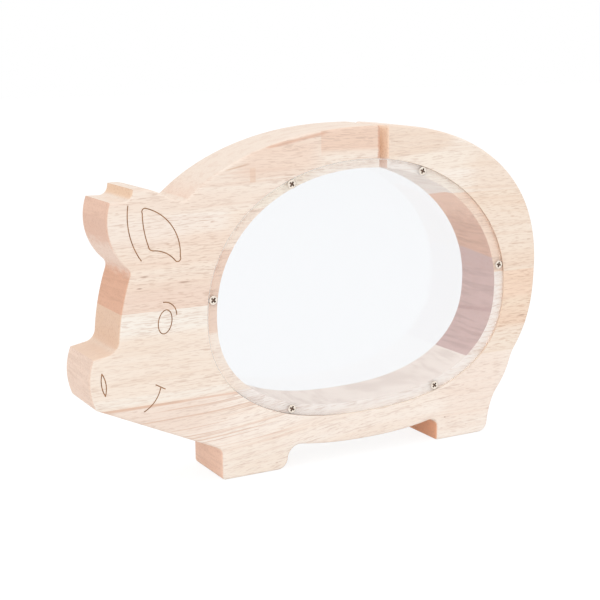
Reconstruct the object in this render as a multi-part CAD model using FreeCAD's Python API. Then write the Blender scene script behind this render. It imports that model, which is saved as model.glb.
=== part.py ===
import FreeCAD, Part
import math
import os

# A see-through money box in the outline of a standing pig. The body is one board, edge-glued from
# rubberwood staves that run along X, and routed to shape with a window right through it. A clear pane
# lies in a recess on each face of the window and is held by small countersunk screws. A slot cut down
# through the back lets money fall between the two panes, and taking off a pane empties the box.
# Sizes are in millimetres. X runs from the snout to the tail, Y from the front face to the rear face,
# Z up from the floor. The outline is drawn about the middle of the window, and the finished pieces are
# then moved along X so that the origin lies under the middle of the whole box.

Vector = FreeCAD.Vector

# Board
board_thickness = 32.5
stave_width = 43.5
glue_line_rise = 6.7
edge_round = 1.5
cutter_radius = 4.0

# Feet
foot_height = 8.4
front_foot_width = 36.2
rear_foot_width = 33.0
front_foot_lead = 5.5
rear_heel_inset = 29.7
front_toe_radius = 2.2
rear_toe_radius = 1.0
heel_radius = 5.5
heel_corner_radius = 7.0

# Recess for the pane, measured from its widest line
recess_half_length = 86.2
recess_front_extra = 0.75
recess_rise = 70.5
recess_drop = 57.3
recess_fullness = (2.0, 2.12, 2.4, 2.4)
ledge_width = 5.5
top_ledge_width = 4.6

# Wood around the recess
belly_rim = 14.6
back_rim = 16.1
tail_rim = 20.8

# Curve of the back, belly and rump
back_peak = 0.5
shoulder_rim = 32.8
body_belt_rise = 8.0
body_fullness = (2.29, 2.11, 2.2, 2.35)
hock_height = 21.2
hock_reach = 5.0
hock_radius = 25.0
thigh_sink = 0.5
thigh_drop = 46.0
thigh_bulge = 1.7
shin_hollow = 1.15

# Head, each point as its distance in front of the recess and its height over the widest line
chin = (56.8, -36.0)
chin_radius = 4.0
jaw_foot_drop = 64.5
snout_front = (59.3, -23.0)
snout_corner = (57.1, -12.5)
brow_corner = (45.1, -10.2)
brow_radius = 6.0
brow_bulge = 1.5
ear_notch = (37.6, 26.2)
ear_bulge = (47.6, 41.0)
ear_tip = (46.7, 57.6)
ear_step = (36.7, 57.4)
ear_step_radius = 4.4
far_ear_tip = (35.9, 62.9)
far_ear_back = ((27.8, 62.3), (17.0, 57.9), (8.8, 55.4), (0.0, 54.6))

# Slot for coins
slot_offset = 10.3
slot_width = 4.6

# Panes
pane_thickness = 2.0
pane_clearance = 0.2
pane_seat_gap = 0.05
pane_edge_break = 0.25

# Screws
screw_length = 10.0
screw_head_diameter = 4.2
screw_head_rim = 0.25
screw_thread_diameter = 2.2
screw_core_diameter = 1.5
screw_pitch = 0.9
screw_tip_length = 1.8
cross_length = 2.8
cross_width = 0.9
cross_depth = 0.75
screw_clearance = 0.12
pilot_spare_depth = 1.0
top_screw_front = 41.7
top_screw_rear = 33.0
bottom_screw = 42.4
snout_screw_rise = 8.8
tail_screw_rise = 10.5
screw_turns = (35.0, 25.0, 15.0, 40.0, 30.0, 45.0)

# Burnt face lines on the front, drawn as the head is: each arc by its start, middle and end
line_width = 0.5
line_end_spread = 0.1
line_depth = 0.4
face_arcs = (
    ((38.3, 55.6), (37.9, 42.3), (32.8, 30.6)),
    ((29.9, 54.1), (17.4, 45.2), (13.7, 31.0)),
    ((13.7, 31.0), (14.3, 28.9), (16.1, 29.2)),
    ((16.1, 29.2), (21.0, 33.2), (26.8, 34.6)),
    ((26.8, 34.6), (28.3, 35.2), (29.1, 36.8)),
    ((29.1, 36.8), (30.9, 43.8), (31.6, 52.0)),
    ((31.6, 52.0), (31.2, 53.8), (29.9, 54.1)),
    ((22.5, 10.5), (18.2, 8.9), (16.2, 4.3)),
    ((53.3, -19.2), (51.5, -24.6), (52.0, -29.7)),
    ((53.3, -19.2), (53.7, -24.4), (52.0, -29.7)),
    ((25.1, -29.3), (27.5, -34.7), (33.4, -39.7)),
    ((27.4, -27.8), (25.1, -29.1), (23.0, -30.3)),
)
eye_middle = (22.0, 1.3)
eye_half_height = 5.6
eye_half_width = 3.3
eye_lean = 12.0

# Heights and edges that the pieces share
front_y = -board_thickness / 2
recess_belt = foot_height + belly_rim + recess_drop
body_belt = recess_belt + body_belt_rise
middle_glue_line = recess_belt + glue_line_rise
back_top = recess_belt + recess_rise + back_rim
tail_x = recess_half_length + tail_rim
front_toe_x = -recess_half_length + front_foot_lead
front_heel_x = front_toe_x + front_foot_width
rear_heel_x = tail_x - rear_heel_inset
rear_toe_x = rear_heel_x - rear_foot_width
tolerance = 1e-4


class Oval:
    """A closed curve of four superellipse quarters about a widest line and a tallest line."""

    curve_points = 32

    def __init__(self, middle_x, belt_z, front, rear, rise, drop, fullness):
        self.middle_x = middle_x
        self.belt_z = belt_z
        self.front = front
        self.rear = rear
        self.rise = rise
        self.drop = drop
        self.fullness = fullness

    def shrunk(self, gap, top_gap):
        return Oval(self.middle_x, self.belt_z, self.front - gap, self.rear - gap,
                    self.rise - top_gap, self.drop - gap, self.fullness)

    def quarter(self, to_rear, upper):
        reach = self.rear if to_rear else self.front
        height = self.rise if upper else self.drop
        rear_upper, front_upper, front_lower, rear_lower = self.fullness
        if upper:
            return reach, height, rear_upper if to_rear else front_upper
        return reach, height, rear_lower if to_rear else front_lower

    def point(self, angle, y):
        across = math.cos(angle)
        up = math.sin(angle)
        reach, height, power = self.quarter(across >= 0, up >= 0)
        x = self.middle_x + math.copysign(reach * abs(across) ** (2 / power), across)
        z = self.belt_z + math.copysign(height * abs(up) ** (2 / power), up)
        return Vector(x, y, z)

    def height_at(self, x, upper):
        reach, height, power = self.quarter(x >= self.middle_x, upper)
        part = abs(x - self.middle_x) / reach
        climb = height * (1 - part ** power) ** (1 / power)
        return self.belt_z + (climb if upper else -climb)

    def reach_at(self, z, to_rear):
        reach, height, power = self.quarter(to_rear, z >= self.belt_z)
        part = abs(z - self.belt_z) / height
        run = reach * (1 - part ** power) ** (1 / power)
        return self.middle_x + (run if to_rear else -run)

    def face(self, y):
        step = 2 * math.pi / self.curve_points
        points = [self.point(number * step, y) for number in range(self.curve_points)]
        curve = Part.BSplineCurve()
        curve.interpolate(Points=points, PeriodicFlag=True)
        return Part.Face(Part.Wire([curve.toShape()]))

    def prism(self, y, depth):
        return self.face(y).extrude(Vector(0, depth, 0))


body_oval = Oval(back_peak, body_belt, recess_half_length + shoulder_rim + back_peak, tail_x - back_peak,
                 back_top - body_belt, body_belt - foot_height, body_fullness)
recess_oval = Oval(0, recess_belt, recess_half_length + recess_front_extra, recess_half_length,
                   recess_rise, recess_drop, recess_fullness)
window_oval = recess_oval.shrunk(ledge_width, top_ledge_width)
pane_oval = recess_oval.shrunk(pane_clearance, pane_clearance)
screw_oval = recess_oval.shrunk(ledge_width / 2, top_ledge_width / 2)

screw_places = [
    (-top_screw_front, screw_oval.height_at(-top_screw_front, True)),
    (top_screw_rear, screw_oval.height_at(top_screw_rear, True)),
    (screw_oval.reach_at(recess_belt + tail_screw_rise, True), recess_belt + tail_screw_rise),
    (bottom_screw, screw_oval.height_at(bottom_screw, False)),
    (-bottom_screw, screw_oval.height_at(-bottom_screw, False)),
    (screw_oval.reach_at(recess_belt + snout_screw_rise, False), recess_belt + snout_screw_rise),
]


def at(x, z):
    return Vector(x, front_y, z)


def on_head(place):
    ahead, rise = place
    return at(-recess_half_length - ahead, recess_belt + rise)


def closed_face(edges):
    return Part.Face(Part.Wire([edge.toShape() for edge in edges]))


def line_chain(points):
    return [Part.LineSegment(start, end) for start, end in zip(points, points[1:])]


def bowed(start, end, bulge):
    """An arc that stands off its chord by the bulge, to the right of the way it runs."""
    along = (end - start).normalize()
    return Part.Arc(start, (start + end) / 2 + Vector(along.z, 0, -along.x) * bulge, end)


jaw_end = at(front_toe_x, recess_belt - jaw_foot_drop)
rear_heel = at(rear_heel_x, 0)
hock = at(rear_heel_x + hock_reach, hock_height)
thigh_z = body_belt - thigh_drop
thigh = at(body_oval.reach_at(thigh_z, True) - thigh_sink, thigh_z)


def head_face():
    jaw_inside = jaw_end + (jaw_end - on_head(chin)).normalize() * front_foot_width / 2
    ear_back = Part.BSplineCurve()
    ear_back.interpolate([on_head(far_ear_tip)] + [on_head(place) for place in far_ear_back])
    edges = line_chain([on_head(far_ear_back[-1]), jaw_inside, on_head(chin)])
    edges.append(Part.Arc(on_head(chin), on_head(snout_front), on_head(snout_corner)))
    edges += line_chain([on_head(snout_corner), on_head(brow_corner)])
    edges.append(bowed(on_head(brow_corner), on_head(ear_notch), -brow_bulge))
    edges.append(Part.Arc(on_head(ear_notch), on_head(ear_bulge), on_head(ear_tip)))
    edges += line_chain([on_head(ear_tip), on_head(ear_step), on_head(far_ear_tip)])
    edges.append(ear_back)
    return closed_face(edges)


def front_foot_face():
    floor_corners = [at(front_toe_x, 0), at(front_heel_x, 0)]
    top_corners = [at(front_heel_x, recess_belt), at(front_toe_x, recess_belt)]
    return closed_face(line_chain(floor_corners + top_corners + floor_corners[:1]))


def rear_foot_face():
    edges = [bowed(rear_heel, hock, -shin_hollow), bowed(hock, thigh, thigh_bulge)]
    edges += line_chain([thigh, at(rear_toe_x, thigh_z), at(rear_toe_x, 0), rear_heel])
    return closed_face(edges)


def corners_near(solid, places):
    """For each place on the outline, the nearest edge that runs square through the board."""
    through = []
    for edge in solid.Edges:
        run = edge.Vertexes[-1].Point - edge.Vertexes[0].Point
        if abs(abs(run.y) - board_thickness) < tolerance and math.hypot(run.x, run.z) < tolerance:
            through.append(edge)

    def gap(edge, place):
        end = edge.Vertexes[0].Point
        return math.hypot(end.x - place.x, end.z - place.z)

    return [min(through, key=lambda edge: gap(edge, place)) for place in places]


def shaped_board():
    """The board routed to the pig's outline, with its corners rounded."""
    outlines = [head_face(), front_foot_face(), rear_foot_face()]
    blanks = [outline.extrude(Vector(0, board_thickness, 0)) for outline in outlines]
    board = body_oval.prism(front_y, board_thickness).fuse(blanks).removeSplitter().Solids[0]
    front_crotch = at(front_heel_x, body_oval.height_at(front_heel_x, False))
    rear_crotch = at(rear_toe_x, body_oval.height_at(rear_toe_x, False))
    rounds = [
        (hock_radius, [hock, thigh]),
        (cutter_radius, [on_head(far_ear_back[-1]), on_head(ear_notch), jaw_end, rear_crotch]),
        (heel_corner_radius, [front_crotch]),
        (brow_radius, [on_head(brow_corner)]),
        (chin_radius, [on_head(chin)]),
        (ear_step_radius, [on_head(ear_step)]),
        (front_toe_radius, [at(front_toe_x, 0)]),
        (rear_toe_radius, [at(rear_toe_x, 0)]),
        (heel_radius, [at(front_heel_x, 0), rear_heel]),
    ]
    for radius, places in rounds:
        board = board.makeFillet(radius, corners_near(board, places))
    return board


def with_slot(board):
    """The coin slot, cut from the back down to the middle of the window."""
    corner = Vector(slot_offset - slot_width / 2, -board_thickness, recess_belt)
    return board.cut(Part.makeBox(slot_width, 2 * board_thickness, back_top, corner))


def with_round_rims(board):
    """The rims of both faces and of the slot, rounded over. The slot's foot is later lost in the window."""
    rims = []
    for edge in board.Edges:
        ends = [vertex.Point for vertex in edge.Vertexes]
        on_face = any(all(abs(end.y - face_y) < tolerance for end in ends) for face_y in (front_y, -front_y))
        in_slot = all(abs(end.x - slot_offset) < slot_width / 2 + tolerance for end in ends)
        on_slot_foot = in_slot and max(end.z for end in ends) < recess_belt + tolerance
        on_slot_top = in_slot and min(end.z for end in ends) > recess_belt + recess_rise
        if on_slot_top or on_face and not on_slot_foot:
            rims.append(edge)
    return board.makeFillet(edge_round, rims)


def with_window(board):
    """The window through the board and the recess for a pane on each face."""
    window = window_oval.prism(-board_thickness, 2 * board_thickness)
    recess_depth = pane_thickness + pane_seat_gap
    front_recess = recess_oval.prism(-board_thickness, board_thickness / 2 + recess_depth)
    rear_recess = recess_oval.prism(board_thickness / 2 - recess_depth, board_thickness / 2)
    return board.cut([window, front_recess, rear_recess])


def turned_about_y(radius_low, radius_high, start_y, length):
    """A cone or cylinder that lies along Y."""
    along = Vector(0, 1, 0)
    start = Vector(0, start_y, 0)
    if abs(radius_low - radius_high) < tolerance:
        return Part.makeCylinder(radius_low, length, start, along)
    return Part.makeCone(radius_low, radius_high, length, start, along)


def mirrored(shape):
    """The same shape on the rear face of the board."""
    return shape.mirror(Vector(0, 0, 0), Vector(0, 1, 0))


def placed(shape, place):
    moved = shape.copy()
    moved.translate(Vector(place[0], 0, place[1]))
    return moved


def with_pilot_holes(board):
    radius = screw_thread_diameter / 2 + screw_clearance
    hole = turned_about_y(radius, radius, front_y, screw_length + pilot_spare_depth)
    holes = [placed(hole, place) for place in screw_places]
    return board.cut(holes + [mirrored(hole) for hole in holes])


def face_line(start, middle, end):
    """One burnt line along an arc."""
    circle = Part.Arc(on_head(start), on_head(middle), on_head(end)).toShape().Curve
    half = line_width / 2

    def beside(place, gap):
        spoke = on_head(place) - circle.Center
        return circle.Center + spoke * (1 + gap / circle.Radius)

    inner = [beside(place, -half) for place in (start, middle, end)]
    outer = [beside(place, half) for place in (start, middle, end)]
    band = closed_face([
        Part.Arc(*inner),
        Part.LineSegment(inner[2], outer[2]),
        Part.Arc(*reversed(outer)),
        Part.LineSegment(outer[0], inner[0]),
    ])
    return band.extrude(Vector(0, line_depth, 0))


def line_end(place):
    """The round dot where a burnt line starts or stops."""
    radius = (line_width + line_end_spread) / 2
    return Part.makeCylinder(radius, line_depth, on_head(place), Vector(0, 1, 0))


def eye_line():
    """The burnt ring of the eye, an ellipse that leans towards the tail."""
    middle = on_head(eye_middle)
    lean = math.radians(eye_lean)
    up = Vector(math.sin(lean), 0, math.cos(lean))
    out = Vector(math.cos(lean), 0, -math.sin(lean))

    def oval_face(gap):
        top = middle + up * (eye_half_height + gap)
        side = middle + out * (eye_half_width + gap)
        ellipse = Part.Ellipse(top, side, middle)
        return Part.Face(Part.Wire([ellipse.toShape()])).extrude(Vector(0, line_depth, 0))

    return oval_face(line_width / 2).cut(oval_face(-line_width / 2))


def with_face_lines(board):
    lines = [face_line(*arc) for arc in face_arcs]
    end_places = dict.fromkeys(place for start, middle, end in face_arcs for place in (start, end))
    lines += [line_end(place) for place in end_places]
    return board.cut([lines[0].fuse(lines[1:]), eye_line()])


def staves(board):
    """The glued staves, from the floor up. The window and the slot part each upper stave in two."""
    names = [("foot_stave", "foot_stave"), ("snout_stave", "haunch_stave"),
             ("cheek_stave", "rump_stave"), ("ear_stave", "back_stave")]
    pieces = {}
    whole = board.BoundBox
    glue_lines = [middle_glue_line - stave_width, middle_glue_line, middle_glue_line + stave_width]
    heights = [whole.ZMin] + glue_lines + [whole.ZMax]
    for (front_name, rear_name), low, high in zip(names, heights, heights[1:]):
        corner = Vector(whole.XMin, whole.YMin, low)
        band = Part.makeBox(whole.XLength, whole.YLength, high - low, corner)
        for solid in board.common(band).Solids:
            in_front = solid.CenterOfMass.x < slot_offset
            pieces.setdefault(front_name if in_front else rear_name, []).append(solid)
    return {name: Part.makeCompound(solids) for name, solids in pieces.items()}


def head_depth():
    """From the flat of a screw's head to where its cone meets the thread."""
    return screw_head_rim + (screw_head_diameter - screw_thread_diameter) / 2


def front_pane():
    """A clear pane, its outer edges broken, with countersunk screw holes."""
    pane = pane_oval.prism(front_y, pane_thickness)
    rims = [edge for edge in pane.Edges if all(vertex.Y < front_y + tolerance for vertex in edge.Vertexes)]
    pane = pane.makeChamfer(pane_edge_break, rims)
    shank = screw_thread_diameter / 2 + screw_clearance
    head = screw_head_diameter / 2 + screw_clearance
    hole = turned_about_y(shank, shank, front_y - pane_thickness, 3 * pane_thickness)
    rim = turned_about_y(head, head, front_y - pane_thickness, pane_thickness + screw_head_rim)
    cone = turned_about_y(head, shank, front_y + screw_head_rim, head - shank)
    cutter = hole.fuse([rim, cone])
    return pane.cut([placed(cutter, place) for place in screw_places])


def front_screw():
    """A countersunk screw, its head flush with the pane: a turned body with ridges for its thread."""
    core = screw_core_diameter / 2
    crest = screw_thread_diameter / 2
    head = screw_head_diameter / 2
    thread_start = head_depth() + crest - core
    profile = [(0, 0), (head, 0), (head, screw_head_rim), (crest, head_depth()), (core, thread_start)]
    thread_end = screw_length - screw_tip_length
    turns = max(1, int((thread_end - thread_start) / screw_pitch))
    for turn in range(turns):
        root = thread_start + turn * screw_pitch
        profile.append((crest, root + screw_pitch / 2))
        profile.append((core, root + screw_pitch))
    profile.append((0, screw_length))
    points = [Vector(radius, front_y + depth, 0) for radius, depth in profile]
    outline = Part.makePolygon(points + points[:1])
    screw = Part.Face(outline).revolve(Vector(0, 0, 0), Vector(0, 1, 0), 360)
    slot = Part.makeBox(cross_length, 2 * cross_depth, cross_width,
                        Vector(-cross_length / 2, front_y - cross_depth, -cross_width / 2))
    cross_slot = slot.copy()
    cross_slot.rotate(Vector(0, 0, 0), Vector(0, 1, 0), 90)
    return screw.cut([slot, cross_slot])


def all_pieces():
    board = with_face_lines(with_pilot_holes(with_window(with_round_rims(with_slot(shaped_board())))))
    pieces = staves(board)
    pieces["front_pane"] = front_pane()
    pieces["rear_pane"] = mirrored(pieces["front_pane"])
    screw = front_screw()
    for number, (place, turn) in enumerate(zip(screw_places, screw_turns), 1):
        driven = screw.copy()
        driven.rotate(Vector(0, 0, 0), Vector(0, 1, 0), turn)
        pieces[f"front_screw_{number}"] = placed(driven, place)
        pieces[f"rear_screw_{number}"] = placed(mirrored(driven), place)
    return pieces


pieces = all_pieces()
wood = Part.makeCompound([shape for name, shape in pieces.items() if name.endswith("stave")])
box = wood.optimalBoundingBox()
os.makedirs("parts", exist_ok=True)
for name, shape in pieces.items():
    shape.translate(Vector(-box.Center.x, 0, 0))
    shape.exportStep(f"parts/{name}.step")
    print(name, len(shape.Solids), shape.isValid(), round(shape.Volume, 1))
print("length, thickness, height", round(box.XLength, 2), round(box.YLength, 2), round(box.ZLength, 2))
print("shift along X", round(-box.Center.x, 3))
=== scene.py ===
import math

import bpy
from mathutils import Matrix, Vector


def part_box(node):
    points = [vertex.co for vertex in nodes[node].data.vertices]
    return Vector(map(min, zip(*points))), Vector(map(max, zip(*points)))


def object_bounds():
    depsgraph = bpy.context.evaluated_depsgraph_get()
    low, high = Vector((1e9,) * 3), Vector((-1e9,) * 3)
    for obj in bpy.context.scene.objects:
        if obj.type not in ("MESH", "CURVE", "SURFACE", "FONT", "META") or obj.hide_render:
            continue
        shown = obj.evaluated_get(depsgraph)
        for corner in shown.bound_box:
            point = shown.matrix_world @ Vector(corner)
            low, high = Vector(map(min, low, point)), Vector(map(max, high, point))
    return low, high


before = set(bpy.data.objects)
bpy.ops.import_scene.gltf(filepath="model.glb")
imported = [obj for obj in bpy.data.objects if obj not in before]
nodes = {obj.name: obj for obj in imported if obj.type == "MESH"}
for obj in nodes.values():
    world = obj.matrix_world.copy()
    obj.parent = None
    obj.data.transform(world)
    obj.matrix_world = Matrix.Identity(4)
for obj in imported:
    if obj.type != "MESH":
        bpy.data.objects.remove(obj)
cad_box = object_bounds()


# Staves
# The box is one board, edge-glued from seven rubberwood staves whose grain runs from snout to tail.
# It is routed to shape, its edges are rounded over, and it is sanded fine under a thin clear satin coat.
# The pig's face is burnt into the front as thin brown grooves.

class Shade:
    """A value, colour, vector or shader in a node tree. Arithmetic on it adds the Math nodes for it."""

    def __init__(self, socket):
        self.socket = socket
        self.tree = socket.id_data

    def node(self, kind, settings, sockets, out=0):
        """Adds a node of a kind, with its settings and the values or links of its sockets."""
        made = self.tree.nodes.new(kind)
        for name, value in settings.items():
            setattr(made, name, value)
        return Shade(made.outputs[out]).feed(sockets)

    def feed(self, sockets):
        """Links or sets the inputs of the node that this comes out of."""
        for name, value in sockets.items():
            socket = self.socket.node.inputs[name]
            if isinstance(value, Shade):
                self.tree.links.new(value.socket, socket)
            else:
                socket.default_value = value
        return self

    def maths(self, operation, *values):
        return self.node("ShaderNodeMath", {"operation": operation}, dict(enumerate(values)))

    def __add__(self, other):
        return self.maths("ADD", self, other)

    def __radd__(self, other):
        return self.maths("ADD", other, self)

    def __sub__(self, other):
        return self.maths("SUBTRACT", self, other)

    def __rsub__(self, other):
        return self.maths("SUBTRACT", other, self)

    def __mul__(self, other):
        return self.maths("MULTIPLY", self, other)

    def __rmul__(self, other):
        return self.maths("MULTIPLY", other, self)

    def __abs__(self):
        return self.maths("ABSOLUTE", self)

    def most(self, other):
        return self.maths("MAXIMUM", self, other)

    def step(self, low, high):
        """0 at low and 1 at high, eased between them; low may be the larger."""
        return self.node("ShaderNodeMapRange", {"interpolation_type": "SMOOTHSTEP"},
                         {"Value": self, "From Min": low, "From Max": high})

    def between(self, low, high, ease):
        """1 from low to high, and 0 further out than the ease."""
        return self.step(low - ease, low + ease) * self.step(high + ease, high - ease)

    def blend(self, off, on):
        """A colour that goes from one to the other as this value goes from 0 to 1."""
        return self.node("ShaderNodeMix", {"data_type": "RGBA"}, {0: self, 6: off, 7: on}, 2)


def colour(red, green, blue):
    """A colour from its 0 to 255 screen values, in the linear light that Blender mixes."""
    def linear(value):
        part = value / 255
        return part / 12.92 if part <= 0.04045 else ((part + 0.055) / 1.055) ** 2.4
    return linear(red), linear(green), linear(blue), 1.0


def shifted(tint, change):
    """A colour of the tint, made lighter or darker by a change in its screen values."""
    return colour(*[min(part + change, 255) for part in tint])


def new_material(name):
    """A new material and its Principled shader."""
    material = bpy.data.materials.new(name)
    material.use_nodes = True
    return material, Shade(material.node_tree.nodes["Principled BSDF"].outputs[0])


to_millimetres = 1000.0


def millimetres(shader):
    """Where a point of the surface lies in the box's frame."""
    metres = shader.node("ShaderNodeTexCoord", {}, {}, "Object")
    return metres.node("ShaderNodeVectorMath", {"operation": "SCALE"}, {0: metres, "Scale": to_millimetres})


def facing(shader):
    """The way the surface faces, in the box's frame."""
    return shader.node("ShaderNodeTexCoord", {}, {}, "Normal")


def split(vector):
    """The X, Y and Z of a vector."""
    return [vector.node("ShaderNodeSeparateXYZ", {}, {0: vector}, axis) for axis in range(3)]


def noise(place, lengths, seed, detail=2.0, rough=0.5):
    """Noise whose features are about as long as the three lengths, in millimetres."""
    scale = tuple(1 / length for length in lengths)
    moved = place.node("ShaderNodeMapping", {}, {"Vector": place, "Location": seed, "Scale": scale})
    return moved.node("ShaderNodeTexNoise", {}, {
        "Vector": moved, "Scale": 1.0, "Detail": detail, "Roughness": rough})


half_board = cad_box[1].y * to_millimetres
pane_low, pane_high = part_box("front_pane")
recess_depth = (pane_high - pane_low).y * to_millimetres
window_middle = (pane_low + pane_high) / 2 * to_millimetres
window_reach = (pane_high - pane_low) / 2 * to_millimetres
window_spare = 1.085


def window_cuts(x, y, z, normals):
    """Masks of the ledges under the panes, the rims round the panes and the wall from one ledge to the
    other. All of them lie inside an oval a little larger than a pane."""
    normal_x, normal_y, normal_z = normals
    from_middle_x = (x - window_middle.x) * (1 / window_reach.x / window_spare)
    from_middle_z = (z - window_middle.z) * (1 / window_reach.z / window_spare)
    near_window = (from_middle_x * from_middle_x + from_middle_z * from_middle_z).step(1.05, 1.0)
    sunk = abs(y).step(half_board - 0.3 * recess_depth, half_board - 0.7 * recess_depth)
    below_pane = abs(y).step(half_board - recess_depth, half_board - recess_depth - 0.1)
    facing_in = (normal_x * from_middle_x + normal_z * from_middle_z).step(-0.3, -0.6)
    on_ledge = near_window * sunk * abs(normal_y).step(0.6, 0.9)
    on_rim = near_window * (1 - below_pane) * facing_in
    on_wall = near_window * below_pane * facing_in
    return on_ledge, on_rim, on_wall


groove_depth = 0.4
head_end = -71.0


def burnt_lines(x, y, normal_y):
    """A mask of the grooves of the pig's face: their floors, and the walls beside them."""
    depth = y + half_board
    on_head = x.step(head_end, head_end - 2.0)
    floor = abs(depth - groove_depth).step(0.05, 0.02) * normal_y.step(-0.9, -0.95)
    wall = depth.step(groove_depth + 0.07, groove_depth + 0.01) * abs(normal_y).step(0.35, 0.25)
    return on_head * floor.most(wall)


def patch(along, up, tint, strength, ease, rise=0.0):
    """A stretch of a stave with another tint, from limit to limit along X and up Z, in millimetres. It
    fades over the two eases, and its limits in Z climb by the rise."""
    return along, up, ease, rise, tint, strength


bold_pore_brown = (180, 134, 105)
dark_pore_brown = (150, 104, 80)
speck_brown = (196, 146, 118)
burnt_brown = (172, 128, 92)
scorched_brown = (202, 158, 118)
cut_pore_drop = (40, 56, 61)


def rubberwood(name, seed, face, deep, streak, end, ledge, rim, wall, dashes, streaks,
               patches=(), end_patches=(), wall_patches=(), ledge_patches=(), rim_patches=(),
               lined=None, lift=None, dark_pores=(), top=None):
    """Rubberwood of one stave. Its colours are the pale face, the deeper bands, the long streaks, the end
    grain, the ledge under a pane, the rim round that pane and the wall of the window. The ledge colour is
    painted light, made lighter against the shade of the recess and the pane. The rim colour is painted
    shade where the gap beside a pane shows, and near white where the rim is hidden, to lift the shade on
    the ledge. dashes and streaks say how strongly those show. Patches of the end grain and of the window's
    wall rise along Y, and the others along X. lined is a patch of long lines, lift says from where to where
    the grain climbs and how far, a dark pore has its X, its Z and its half length, and top is a painted
    shade on what faces up, against the light from above."""
    material, shader = new_material(name)
    place = millimetres(shader)
    x, y, z = split(place)
    normals = split(facing(shader))
    normal_x, normal_y, normal_z = normals
    shift = (seed * 7.3, seed * 3.1, seed * 5.7)
    far_shift = (seed * 3.9 + 40, seed * 8.3, seed * 2.1)

    # Grain that wanders a little as it runs along the stave.
    wander = noise(place, (80, 34, 30), shift, 1.0) - 0.5
    across_grain = z + wander * 4.0
    if lift:
        low, high, climb = lift
        across_grain = across_grain - x.step(low, high) * climb
    flow = place.node("ShaderNodeCombineXYZ", {}, {"X": x, "Y": y, "Z": across_grain})

    # Broad soft bands, long streaks, and the short dashes that cut pores leave, a few of them bold.
    bands = noise(flow, (120, 15, 8), shift)
    streak_field = noise(flow, (85, 5, 1.8), shift, 2.0, 0.55)
    line_field = noise(flow, (70, 4, 0.85), far_shift, 1.0)
    crowding = noise(flow, (40, 10, 7), shift, 1.0).step(0.3, 0.65) * 0.5 + 0.5
    dash_field = noise(flow, (7.5, 1.2, 0.75), shift, 1.0)
    fine_field = noise(flow, (4.5, 0.8, 0.45), far_shift, 1.0)
    bold_field = noise(flow, (5.5, 1.0, 0.6), shift, 0.0)
    long_dashes = dash_field.step(0.58, 0.68) * crowding
    fine_dashes = fine_field.step(0.55, 0.65) * crowding
    bold_dashes = bold_field.step(0.77, 0.82)

    # Patches of other tints, with ragged ends that follow the streaks.
    ragged = (streak_field - 0.5) * 2

    def inside(run, along, up, ease, rise):
        ease_x, ease_z = ease
        inside_x = (x + ragged * ease_x).between(*along, ease_x)
        return inside_x * (z - run * rise + ragged * ease_z).between(*up, ease_z)

    def tinted(tone, run, tints, share=1.0):
        for *limits, tint, strength in tints:
            tone = (inside(run, *limits) * strength * share).blend(tone, colour(*tint))
        return tone

    # The sanded faces, the surfaces that face up and the ledges under the panes. What faces up takes a
    # painted shade, and the ledges take painted light.
    on_ledge, on_rim, on_wall = window_cuts(x, y, z, normals)
    upward = normal_z.step(0.6, 0.9)
    tone = bands.step(0.3, 0.7).blend(colour(*deep), colour(*face))
    tone = tinted(tone, x, patches)
    if top:
        tone = upward.blend(tone, colour(*top))
    tone = on_ledge.blend(tone, tinted(colour(*ledge), x, ledge_patches))
    tone = (streak_field.step(0.48, 0.66) * streaks).blend(tone, colour(*streak))
    if lined:
        *limits, tint, strength = lined
        lines = inside(x, *limits) * line_field.step(0.53, 0.64)
        tone = (lines * strength).blend(tone, colour(*tint))
    # Fewer dashes show on what faces up: a painted highlight, where the light from above washes them out.
    dashes_here = dashes - upward * (0.65 * dashes)
    cut_pore = colour(*[part - drop for part, drop in zip(face, cut_pore_drop)])
    tone = (long_dashes * dashes_here).blend(tone, cut_pore)
    tone = (fine_dashes * dashes_here).blend(tone, cut_pore)
    tone = (bold_dashes * dashes_here * 0.65).blend(tone, colour(*bold_pore_brown))
    for pore_x, pore_z, half in dark_pores:
        pore = abs(x - pore_x).step(half, 0.0) * abs(z - pore_z).step(0.45, 0.1)
        tone = (pore * normal_y.step(-0.8, -0.9) * 0.7).blend(tone, colour(*dark_pore_brown))

    # End grain where the surface is cut across the fibres: warmer, with growth rings and specks of pores.
    across = abs(normal_x).step(0.5, 0.88)
    specks = noise(place, (3.0, 0.9, 0.9), shift, 2.0, 0.6).step(0.5, 0.66) * 0.25
    rings = noise(flow, (60, 24, 2.0), far_shift, 2.0, 0.6).step(0.42, 0.66)
    ringed = 1 - rings * 0.12
    end_tone = rings.blend(shifted(end, 6), shifted(end, -3))
    end_tone = tinted(end_tone, y, end_patches, ringed)
    end_tone = specks.blend(end_tone, colour(*speck_brown))
    wall_tone = rings.blend(shifted(wall, 5), shifted(wall, -9))
    wall_tone = tinted(wall_tone, y, wall_patches, ringed)
    wall_tone = (specks * across).blend(wall_tone, colour(*speck_brown))
    tone = across.blend(tone, end_tone)
    tone = on_wall.blend(tone, wall_tone)
    # The rim's tint is painted shade where the gap beside a pane shows, and near white where the rim is
    # hidden, to lift the ledge's shade.
    tone = on_rim.blend(tone, tinted(colour(*rim), x, rim_patches))

    burnt = burnt_lines(x, y, normal_y)
    char = noise(place, (2.5, 2.5, 2.5), shift).step(0.3, 0.7)
    tone = burnt.blend(tone, char.blend(colour(*burnt_brown), colour(*scorched_brown)))

    relief = fine_field * 0.5 + dash_field * 0.4 - bold_dashes * 0.8
    bump = relief.node("ShaderNodeBump", {}, {"Strength": 0.1, "Distance": 0.0002, "Height": relief})
    shader.feed({
        "Base Color": tone,
        "Roughness": 0.55 + (fine_field - 0.5) * 0.16 + bold_dashes * 0.15 + burnt * 0.25,
        "Normal": bump, "IOR": 1.45, "Specular IOR Level": 0.3})
    return material


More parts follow.
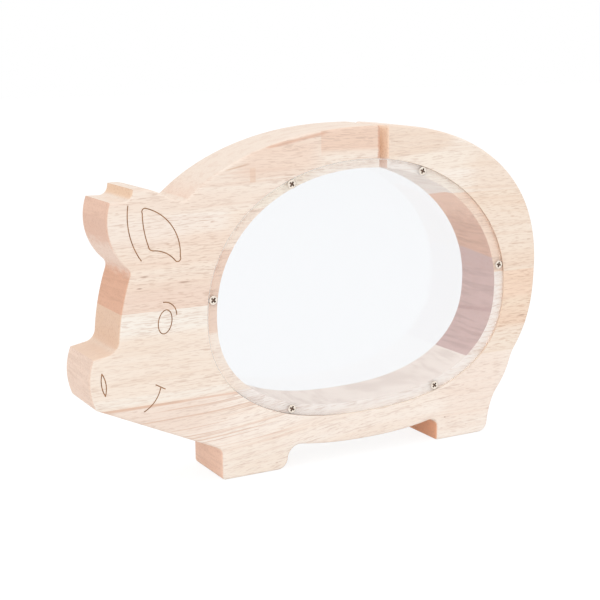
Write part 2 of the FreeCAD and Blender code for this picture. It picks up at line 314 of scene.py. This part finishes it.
def finish_node(name, material):
    nodes[name].data.materials.clear()
    nodes[name].data.materials.append(material)


# In every stave below, ledge is painted light, rim is painted shade where the gap shows and near white where
# it is hidden, and top is painted shade.
finish_node("foot_stave", rubberwood(
    "rubberwood_foot", seed=1.0, dashes=0.42, streaks=0.1,
    face=(254, 244, 234), deep=(252, 238, 225), streak=(221, 184, 160), end=(242, 204, 182),
    ledge=(255, 246, 238), rim=(238, 220, 202), wall=(252, 239, 230),
    patches=(
        # A brown line along the joint with the snout, the warm chin, the front foot and below the haunch.
        patch((-130, -78), (42.3, 43.6), (220, 172, 142), 0.8, ease=(6, 0.4)),
        patch((-80, -40), (42.5, 43.6), (228, 188, 164), 0.7, ease=(10, 0.4)),
        patch((-130, -64), (25, 44), (240, 217, 201), 0.65, ease=(14, 6)),
        patch((-62, -22), (-4, 14), (249, 236, 222), 0.7, ease=(8, 5)),
        patch((68, 108), (12, 50), (249, 232, 219), 0.7, ease=(8, 5))),
    # The front end of the rear foot.
    end_patches=(patch((55, 70), (-5, 20), (244, 182, 147), 1.0, ease=(2, 3)),),
    # A stretch of the rim darkened with painted shade, where the gap beside the pane shows dark.
    rim_patches=(patch((-60, 2), (0, 60), (178, 150, 130), 1.0, ease=(6, 5)),),
    lined=patch((-130, -22), (16, 43), (221, 184, 160), 0.6, ease=(16, 6)),
    lift=(-75, 65, 14),
    dark_pores=((68.6, 12.1, 0.8),)))

finish_node("snout_stave", rubberwood(
    "rubberwood_snout", seed=2.0, dashes=0.42, streaks=0.16,
    face=(249, 235, 221), deep=(246, 229, 213), streak=(226, 194, 170), end=(240, 213, 195),
    ledge=(254, 239, 224), rim=(254, 240, 228), wall=(244, 224, 210), top=(241, 215, 194),
    patches=(
        # Pale bands along the upper and the lower joint.
        patch((-130, -40), (76, 88), (250, 244, 235), 0.8, ease=(8, 3)),
        patch((-130, -40), (44.4, 48), (250, 241, 230), 0.85, ease=(8, 1.0))),
    # The end grain above the snout.
    end_patches=(patch((-120, -80), (66, 90), (236, 202, 176), 1.0, ease=(3, 2)),),
    ledge_patches=(patch((-130, -30), (73, 100), (244, 216, 196), 1.0, ease=(3, 0.8)),)))

finish_node("haunch_stave", rubberwood(
    "rubberwood_haunch", seed=3.0, dashes=0.45, streaks=0.2,
    face=(247, 226, 205), deep=(244, 217, 195), streak=(222, 184, 158), end=(236, 206, 184),
    # The violet wall of the window is painted shade and painted reflection, and the rim is painted shade of
    # the gap.
    ledge=(255, 245, 236), rim=(234, 208, 186), wall=(216, 187, 182),
    patches=(
        # A warm band along the upper joint and a pale one along the lower.
        patch((80, 130), (73, 88), (249, 222, 200), 0.75, ease=(8, 3)),
        patch((80, 130), (40, 56), (248, 235, 221), 0.7, ease=(8, 4))),
    wall_patches=(patch((90, 105), (63.9, 65.7), (190, 152, 150), 0.5, ease=(3, 0.8), rise=-0.1),),
    dark_pores=((117.8, 61.8, 4.0),)))

finish_node("cheek_stave", rubberwood(
    "rubberwood_cheek", seed=4.0, dashes=0.5, streaks=0.18,
    face=(248, 233, 218), deep=(245, 224, 207), streak=(214, 172, 150), end=(226, 177, 149),
    ledge=(255, 237, 220), rim=(254, 240, 228), wall=(240, 216, 201),
    patches=(
        # A pink band along the lower joint, and paler wood below the ear and behind it.
        patch((-130, -30), (84, 97), (241, 216, 200), 0.7, ease=(8, 3)),
        patch((-130, -80), (119, 132), (248, 237, 227), 0.6, ease=(8, 4)),
        patch((-84, -56), (122, 136), (251, 242, 233), 0.6, ease=(6, 4))),
    # The end grain of the ear, and the paler hollow below it.
    end_patches=(
        patch((-130, -90), (106, 140), (233, 194, 173), 1.0, ease=(3, 2)),
        patch((-130, -90), (106, 119), (244, 219, 203), 1.0, ease=(3, 4))),
    ledge_patches=(patch((-130, -30), (60, 112.5), (245, 215, 194), 1.0, ease=(3, 1.0)),),
    dark_pores=((-98.5, 103.4, 3.0), (-79.0, 99.2, 4.0), (-101.0, 98.2, 2.0))))

finish_node("rump_stave", rubberwood(
    "rubberwood_rump", seed=5.0, dashes=0.42, streaks=0.2,
    face=(247, 231, 214), deep=(245, 224, 205), streak=(222, 184, 158), end=(236, 206, 184),
    # The rim's brown is painted shade of the gap beside the pane.
    ledge=(254, 227, 205), rim=(212, 176, 150), wall=(227, 186, 165),
    patches=(patch((85, 130), (98, 119), (249, 236, 222), 0.5, ease=(10, 6)),),
    # The wall's violet foot, painted shade and painted reflection, and its paler top, a painted haze of
    # reflection.
    wall_patches=(
        patch((60, 110), (80, 96.2), (216, 187, 182), 1.0, ease=(3, 0.35), rise=0.11),
        patch((60, 110), (117, 150), (252, 214, 191), 0.9, ease=(3, 7)),
        patch((60, 110), (129.1, 150), (254, 241, 232), 1.0, ease=(3, 0.35), rise=-0.166))))

finish_node("ear_stave", rubberwood(
    "rubberwood_ear", seed=6.0, dashes=0.44, streaks=0.18,
    face=(248, 235, 222), deep=(245, 227, 212), streak=(217, 178, 156), end=(233, 194, 172),
    ledge=(255, 244, 232), rim=(255, 244, 234), wall=(241, 227, 219), top=(242, 225, 210),
    patches=(
        # A warm block beside the slot, the warm shoulder with a small upright mark, two brown lines
        # along the rounded edge, and the brown edge of the slot.
        patch((-6.4, 40), (154.5, 170), (240, 210, 190), 0.85, ease=(0.25, 2.2)),
        patch((-50, -8), (148, 162), (242, 214, 195), 0.65, ease=(8, 4), rise=0.06),
        patch((-44.5, -41.6), (143, 149.5), (236, 206, 184), 0.7, ease=(0.25, 0.4)),
        patch((-36, -4), (164.2, 165.6), (220, 172, 146), 0.7, ease=(3, 0.7), rise=0.18),
        patch((-57, -46), (160.2, 160.8), (205, 160, 125), 0.6, ease=(2, 0.4), rise=0.2),
        patch((25.7, 40), (150, 170), (213, 158, 128), 0.85, ease=(0.7, 2))),
    # The end of the far ear, and the wall of the slot, made lighter as painted light against the shade in
    # the narrow slot.
    end_patches=(
        patch((-106, -99), (136, 146), (242, 209, 180), 1.0, ease=(1, 1)),
        patch((20, 40), (120, 180), (255, 236, 216), 1.0, ease=(3, 3))),
    ledge_patches=(patch((-60, -12), (120, 150), (255, 243, 226), 1.0, ease=(6, 3)),)))

finish_node("back_stave", rubberwood(
    "rubberwood_back", seed=7.0, dashes=0.38, streaks=0.2,
    face=(252, 242, 231), deep=(249, 236, 222), streak=(226, 194, 170), end=(236, 202, 178),
    # The rim's brown is painted shade of the gap beside the pane.
    ledge=(255, 247, 239), rim=(206, 176, 152), wall=(254, 241, 232), top=(246, 230, 217),
    patches=(
        # Warmer wood beside the slot and at the tail end.
        patch((26, 72), (144.6, 175), (241, 219, 200), 0.75, ease=(6, 2.5), rise=0.155),
        patch((82, 135), (120, 150), (243, 221, 202), 0.6, ease=(8, 6))),
    # The wall of the slot, made lighter as painted light against the shade in the narrow slot, and its
    # duller foot behind the panes.
    end_patches=(
        patch((25, 36), (120, 180), (255, 228, 206), 1.0, ease=(1, 1)),
        patch((25, 36), (130, 150.3), (244, 222, 210), 0.9, ease=(1, 0.5))),
    ledge_patches=(patch((54, 80), (120, 150), (255, 243, 227), 0.8, ease=(3, 4)),)))


# Panes
# A clear acrylic pane lies in a recess on each face of the window, flush with the wood.
# It is cut to shape, its outer edge is broken, and six countersunk holes take its screws.

def show(shade):
    """Makes this the shader that the material's surface shows."""
    shade.tree.links.new(shade.socket, shade.tree.nodes["Material Output"].inputs["Surface"])


def on_rays(shade, *kinds):
    """1 for rays of these kinds, and 0 for all others."""
    first, *others = [shade.node("ShaderNodeLightPath", {}, {}, f"Is {kind} Ray") for kind in kinds]
    for other in others:
        first = first.most(other)
    return first


sheet_tint = (0.94, 0.946, 0.955, 1.0)
edge_tint = (0.97, 0.97, 0.965, 1.0)
through_tint = (0.995, 0.997, 1.0, 1.0)
sawn_grey = (0.86, 0.88, 0.88, 1.0)
acrylic_ior = 1.49


def clear_pane():
    """Clear acrylic that light falls through. Its cut edge is a pale sawn one from outside, and nearly
    clear from inside the sheet."""
    material, shader = new_material("clear_acrylic")
    normal_y = split(facing(shader))[1]
    cut_edge = abs(normal_y).step(0.9, 0.5)
    smears = noise(millimetres(shader), (35, 35, 50), (0.0, 0.0, 0.0), 3.0, 0.6)
    shader.feed({
        "Base Color": cut_edge.blend(sheet_tint, edge_tint),
        "Roughness": cut_edge * 0.25 + smears.step(0.4, 0.8) * 0.02,
        "IOR": acrylic_ior, "Transmission Weight": 1.0})
    see_through = shader.node("ShaderNodeBsdfTransparent", {}, {"Color": through_tint})
    sawn = shader.node("ShaderNodeBsdfDiffuse", {}, {"Color": sawn_grey})
    lighting = on_rays(shader, "Shadow", "Diffuse")
    from_inside = shader.node("ShaderNodeNewGeometry", {}, {}, "Backfacing")
    clear_share = lighting.most(cut_edge * from_inside * 0.8)
    sawn_share = cut_edge * (1 - from_inside) * (1 - lighting) * 0.75
    sheet = shader.node("ShaderNodeMixShader", {}, {0: clear_share, 1: shader, 2: see_through})
    show(shader.node("ShaderNodeMixShader", {}, {0: sawn_share, 1: sheet, 2: sawn}))
    return material


acrylic = clear_pane()
finish_node("front_pane", acrylic)
finish_node("rear_pane", acrylic)


# Screws
# Six small countersunk cross-head screws of bright plated steel hold each pane to its ledge.
# Their heads lie flush with the pane, with fine turning marks and painted shade and grime in the cross
# recess.

cross_depth = 1.0
dull_plating = (238, 224, 209)
bright_plating = (254, 245, 234)
shaded_recess_brown = (136, 115, 102)


def plated_steel():
    """Bright plating, dull in places, with painted shade and grime in the cross recess of the head."""
    material, shader = new_material("plated_steel")
    place = millimetres(shader)
    y = split(place)[1]
    depth = half_board - abs(y)
    outward = split(facing(shader))[1] * y * (1 / half_board)
    in_head = depth.step(0.05, 0.5) * depth.step(cross_depth, cross_depth - 0.15)
    in_cross = in_head * outward.step(-0.35, -0.1)
    grime = noise(place, (0.9, 0.9, 0.9), (3.0, 1.0, 2.0), 3.0, 0.6)
    marks = noise(place, (1.6, 0.12, 0.12), (0.0, 0.0, 0.0))
    tone = grime.step(0.3, 0.75).blend(colour(*dull_plating), colour(*bright_plating))
    tone = in_cross.blend(tone, colour(*shaded_recess_brown))
    bump = marks.node("ShaderNodeBump", {}, {"Strength": 0.2, "Distance": 0.00005, "Height": marks})
    shader.feed({
        "Base Color": tone, "Metallic": 1.0,
        "Roughness": 0.28 + grime * 0.16 + in_cross * 0.2, "Normal": bump})
    return material


steel = plated_steel()
for side in ("front", "rear"):
    for number in range(1, 7):
        finish_node(f"{side}_screw_{number}", steel)


# Ground
# A plain white studio ground. The camera, metal and clear panes see it as white, a little darker
# where the box keeps the light off it, and every other ray sees white paper.

def seen_as_white(shade):
    """1 for the rays that show the background itself: straight to the camera, mirrored or through a pane."""
    return on_rays(shade, "Camera", "Glossy", "Transmission")


dull_paper = (0.88, 0.88, 0.88, 1.0)
bright_paper = (0.9, 0.9, 0.9, 1.0)
glow_strength = 1.12
glow_share = 0.75


def white_ground():
    material, shader = new_material("white_paper")
    mottle = noise(millimetres(shader), (50, 50, 50), (0.0, 0.0, 0.0))
    shader.feed({
        "Base Color": mottle.blend(dull_paper, bright_paper),
        "Roughness": 0.9, "Specular IOR Level": 0.0})
    glow = shader.node("ShaderNodeEmission", {}, {"Strength": glow_strength})
    glowing = seen_as_white(shader) * glow_share
    show(shader.node("ShaderNodeMixShader", {}, {0: glowing, 1: shader, 2: glow}))
    return material


ground_half = 4.0
ground_mesh = bpy.data.meshes.new("ground")
ground_mesh.from_pydata(
    [(-ground_half, -ground_half, 0), (ground_half, -ground_half, 0),
     (ground_half, ground_half, 0), (-ground_half, ground_half, 0)], [], [(0, 1, 2, 3)])
ground = bpy.data.objects.new("ground", ground_mesh)
bpy.context.scene.collection.objects.link(ground)
ground_mesh.materials.append(white_ground())


# Light
# A white sky all round and two large round soft lamps, aimed at the middle of the window.
# One stands in front, on the snout's side, and the other hangs above the box.

def studio_sky(lighting):
    """A sky that lights the box at this strength, and shows as plain white behind it."""
    world = bpy.data.worlds.new("studio_sky")
    world.use_nodes = True
    sky = Shade(world.node_tree.nodes["Background"].outputs[0])
    sky.feed({"Color": (1.0, 1.0, 1.0, 1.0), "Strength": lighting + seen_as_white(sky) * (1 - lighting)})
    return world


def soft_lamp(name, place, aim, width, power):
    lamp = bpy.data.lights.new(name, "AREA")
    lamp.shape = "DISK"
    lamp.size = width
    lamp.energy = power
    holder = bpy.data.objects.new(name, lamp)
    bpy.context.scene.collection.objects.link(holder)
    holder.location = place
    holder.rotation_euler = (aim - holder.location).to_track_quat("-Z", "Y").to_euler()


scene = bpy.context.scene
scene.world = studio_sky(lighting=0.86)
middle_of_box = (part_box("front_pane")[0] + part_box("rear_pane")[1]) / 2
soft_lamp("front_lamp", place=(-0.9, -1.4, 0.8), aim=middle_of_box, width=1.2, power=4.4)
soft_lamp("top_lamp", place=(0.2, -0.2, 1.7), aim=middle_of_box, width=1.2, power=4.0)
scene.view_settings.view_transform = "Standard"


# Camera
# It looks down a little on the front of the box from the snout's side, through a long lens.

camera_data = bpy.data.cameras.new("camera")
camera_data.lens = 75.02
camera_data.sensor_width = 36.0
camera_data.clip_start = 0.01
camera = bpy.data.objects.new("camera", camera_data)
scene.collection.objects.link(camera)
camera.location = (-0.305269, -0.534131, 0.207654)
camera.rotation_euler = [math.radians(angle) for angle in (78.2386, 0.2950, -29.0425)]
scene.camera = camera
